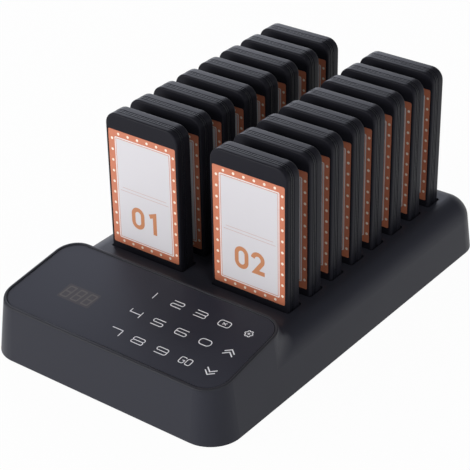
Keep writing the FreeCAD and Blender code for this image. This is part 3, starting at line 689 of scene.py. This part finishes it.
def blendSection(turn, steps=24, halvings=40):
    # Hollow round behind the console: a ball rolls along the back wall and the tray, touching both.
    # The wall is a cone round each corner, the tray a plane that a large round turns down into the side wall.
    # At each turn of the wall's normal the ball's height is found by halving; the section is the ball's arc
    # between the two points of touch. The radius grows with the fourth power of the sine of the turn.
    growth = console["cornerBlendRadius"] - console["blendRadius"]
    radius = console["blendRadius"] + growth * math.sin(turn) ** 4
    draft = math.radians(console["draft"])
    foot, corner, trayRound = console["wallFoot"], console["footCorner"], console["trayRound"]
    centreX, centreY = console["halfWidth"] - corner, console["front"] + console["length"] - corner
    axisZ = console["trayHeight"] - trayRound
    axisX = console["halfWidth"] - (axisZ - foot) * lean - trayRound / math.cos(draft)

    def ballPlace(z):
        reach = corner - (z - foot) * lean + radius / math.cos(draft)
        return np.array([centreX + reach * math.sin(turn), centreY + reach * math.cos(turn), z])

    low, high = axisZ + (trayRound + radius) * math.sin(draft), console["trayHeight"] + radius
    for _ in range(halvings):
        middle = (low + high) / 2
        x = ballPlace(middle)[0]
        if math.hypot(max(x - axisX, 0), middle - axisZ) < trayRound + radius:
            low = middle
        else:
            high = middle
    ball = ballPlace((low + high) / 2)
    wallNormal = np.array([math.cos(draft) * math.sin(turn), math.cos(draft) * math.cos(turn),
                           math.sin(draft)])
    trayNormal = np.array([max(ball[0] - axisX, 0), 0, ball[2] - axisZ])
    trayNormal /= np.linalg.norm(trayNormal)
    opening = math.acos(np.clip(wallNormal @ trayNormal, -1, 1))
    share = np.linspace(0, 1, steps + 1)[:, None]
    swung = np.sin((1 - share) * opening) * wallNormal + np.sin(share * opening) * trayNormal
    knee = (wallNormal + trayNormal) / (1 + wallNormal @ trayNormal)
    hidden = np.array([trayNormal, knee, wallNormal])
    return np.concatenate([ball - radius * swung / math.sin(opening),
                           ball - (radius + console["blendSunk"]) * hidden])


half = [blendSection(turn) for turn in np.radians(np.linspace(console["blendEnd"], 0, 60))]
loops = np.array(half + [section * (-1, 1, 1) for section in half[::-1]])
makePiece("consoleBlend", loops.reshape(-1, 3), loftFaces(*loops.shape[:2]), finishes["casing"], "base")
print("console trim ready")


# Key signs and display

signs = [["1", "2", "3", "clear", "gear"], ["4", "5", "6", "0", "up"], ["7", "8", "9", "go", "down"]]
legends = []
halfWidth, halfHeight = (keypad["width"] - keypad["stroke"]) / 2, (keypad["height"] - keypad["stroke"]) / 2
for y, rowSigns in zip(keypad["rows"], signs):
    for x, sign in zip(keypad["columns"], rowSigns):
        stroke = keypad["chevronStroke"] if sign in ("up", "down") else keypad["stroke"]
        if sign == "gear":
            paths = gearPaths(keypad["gearRadius"])
        else:
            paths = keypadPaths(sign, halfWidth, halfHeight, keypad["corner"], stroke)
        legends += moved([strokeMesh(path, stroke, closed) for closed, path in paths], x, y)
panelPrint("keypadLegends", legends, 0, "legend")

halfWidth, halfHeight = display["width"] / 2, display["height"] / 2
window = roundedLoop(-halfWidth, halfWidth, -halfHeight, halfHeight, display["corner"], display["corner"])
panelPrint("displayWindow", moved([filled(window)], display["x"], display["y"]), 0, "window")
segments = []
halfWidth, halfHeight = display["figureWidth"] / 2, display["figureHeight"] / 2
butt, turnIn = display["stroke"] / 2, display["figureCorner"]
bars = [(True, roundedLoop(-halfWidth, halfWidth, -halfHeight, halfHeight, turnIn, turnIn)),
        (False, [(butt - halfWidth, 0), (halfWidth - butt, 0)])]
for place in (-1, 0, 1):
    for closed, path in bars:
        path = np.array(path)
        path = np.stack([path[:, 0] + display["lean"] * path[:, 1], path[:, 1]], axis=-1)
        segments += moved([strokeMesh(path, display["stroke"], closed)],
                          display["x"] + place * display["spacing"], display["y"])
panelPrint("displaySegments", segments, 1, "segment")
print("touch panel print ready")


# Floor, light and camera

studio = {
    "floorSize": 12.0,              # metres
    "floorColour": "#fafafb",
    "floorGlow": 0.97,              # share of plain white that the camera sees in place of the lit floor
    "worldColour": "#f9faff",
    "wallStrength": 1.0,            # the room is white along the horizon and dim overhead
    "ceilingStrength": 0.12,
    "wallTop": 0.5,                 # sine of the height at which it is dim
    "target": (0, 0, 0.05),
    "lamps": [
        # name, place and size in metres, watts, colour
        ("frontLamp", (-1.2, -1.95, 0.5), 1.5, 39.5, "#ffffff"),
        ("backLamp", (-1.45, 1.5, 1.0), 1.9, 22, "#ecf0ff"),
        ("rightLamp", (1.95, -0.15, 0.3), 1.3, 2.5, "#f0f3ff"),
        ("sparkLamp", (0.75, -0.45, 1.45), 0.4, 4, "#ffffff"),
    ],
}
view = {
    "place": (0.48980, -0.64195, 0.51180),  # metres
    "turn": 37.726,                 # to the left of looking along +Y
    "height": 30.122,               # angle at which it looks down
    "roll": -1.065,
    "lens": 125.22,
    "sensor": 36,
    "shift": (-0.0023, -0.0099),
}

# pale matt floor that keeps the shadow; rays of the camera and those in shiny or clear finishes see it
# nearly plain white
floorMaterial, tree = newMaterial("paleStudioFloor")
lit = addNode(tree, "ShaderNodeBsdfDiffuse", {"Color": linearColour(studio["floorColour"])})
glow = addNode(tree, "ShaderNodeEmission", {"Color": (1, 1, 1, 1), "Strength": 1.0})
path = addNode(tree, "ShaderNodeLightPath")
seen = path.outputs["Is Camera Ray"]
for ray in ("Is Glossy Ray", "Is Transmission Ray"):
    either = addNode(tree, "ShaderNodeMath", {"operation": "MAXIMUM"}, {0: seen, 1: path.outputs[ray]})
    seen = either.outputs[0]
share = addNode(tree, "ShaderNodeMath", {"operation": "MULTIPLY", 1: studio["floorGlow"]}, {0: seen})
mix = addNode(tree, "ShaderNodeMixShader",
              links={0: share.outputs[0], 1: lit.outputs["BSDF"], 2: glow.outputs["Emission"]})
addNode(tree, "ShaderNodeOutputMaterial", links={"Surface": mix.outputs["Shader"]})

reach = studio["floorSize"] / 2
floorMesh = bpy.data.meshes.new("studioFloor")
floorMesh.from_pydata([(-reach, -reach, 0), (reach, -reach, 0), (reach, reach, 0), (-reach, reach, 0)],
                      [], [(0, 1, 2, 3)])
floorMesh.materials.append(floorMaterial)
floor = bpy.data.objects.new("studioFloor", floorMesh)
bpy.context.scene.collection.objects.link(floor)

world = bpy.data.worlds.new("whiteRoom")
world.use_nodes = True
tree = world.node_tree
tree.nodes.clear()
way = addNode(tree, "ShaderNodeTexCoord")
split = addNode(tree, "ShaderNodeSeparateXYZ", links={"Vector": way.outputs["Generated"]})
level = addNode(tree, "ShaderNodeMapRange",
                {"interpolation_type": "SMOOTHSTEP", "From Min": 0.0, "From Max": studio["wallTop"],
                 "To Min": studio["wallStrength"], "To Max": studio["ceilingStrength"]},
                {"Value": split.outputs["Z"]})
background = addNode(tree, "ShaderNodeBackground", {"Color": linearColour(studio["worldColour"])},
                     {"Strength": level.outputs["Result"]})
addNode(tree, "ShaderNodeOutputWorld", links={"Surface": background.outputs["Background"]})
bpy.context.scene.world = world


def aimed(place, aim):
    # a camera or lamp looks along its own -Z
    back = np.array(place, float) - np.array(aim, float)
    back /= np.linalg.norm(back)
    right = np.cross((0, 0, 1), back)
    right /= np.linalg.norm(right)
    return placed(right, np.cross(back, right), back, place)


def placed(right, up, back, place):
    matrix = np.eye(4)
    matrix[:3, 0], matrix[:3, 1], matrix[:3, 2], matrix[:3, 3] = right, up, back, place
    return Matrix(matrix.tolist())


for name, place, size, watts, colour in studio["lamps"]:
    lamp = bpy.data.lights.new(name, "AREA")
    lamp.shape = "DISK"
    lamp.size = size
    lamp.energy = watts
    lampObject = bpy.data.objects.new(name, lamp)
    lamp.color = linearColour(colour)[:3]
    lampObject.matrix_world = aimed(place, studio["target"])
    bpy.context.scene.collection.objects.link(lampObject)

turn, height, roll = [math.radians(view[key]) for key in ("turn", "height", "roll")]
right = np.array([math.cos(turn), math.sin(turn), 0])
back = np.array([math.sin(turn) * math.cos(height), -math.cos(turn) * math.cos(height), math.sin(height)])
up = np.cross(back, right)
rolledRight = math.cos(roll) * right + math.sin(roll) * up
rolledUp = math.cos(roll) * up - math.sin(roll) * right
lens = bpy.data.cameras.new("photoCamera")
lens.lens = view["lens"]
lens.sensor_width = view["sensor"]
lens.sensor_fit = "HORIZONTAL"
lens.shift_x, lens.shift_y = view["shift"]
camera = bpy.data.objects.new("photoCamera", lens)
camera.matrix_world = placed(rolledRight, rolledUp, back, view["place"])
bpy.context.scene.collection.objects.link(camera)
bpy.context.scene.camera = camera
bpy.context.scene.view_settings.view_transform = "Standard"
print("studio ready")
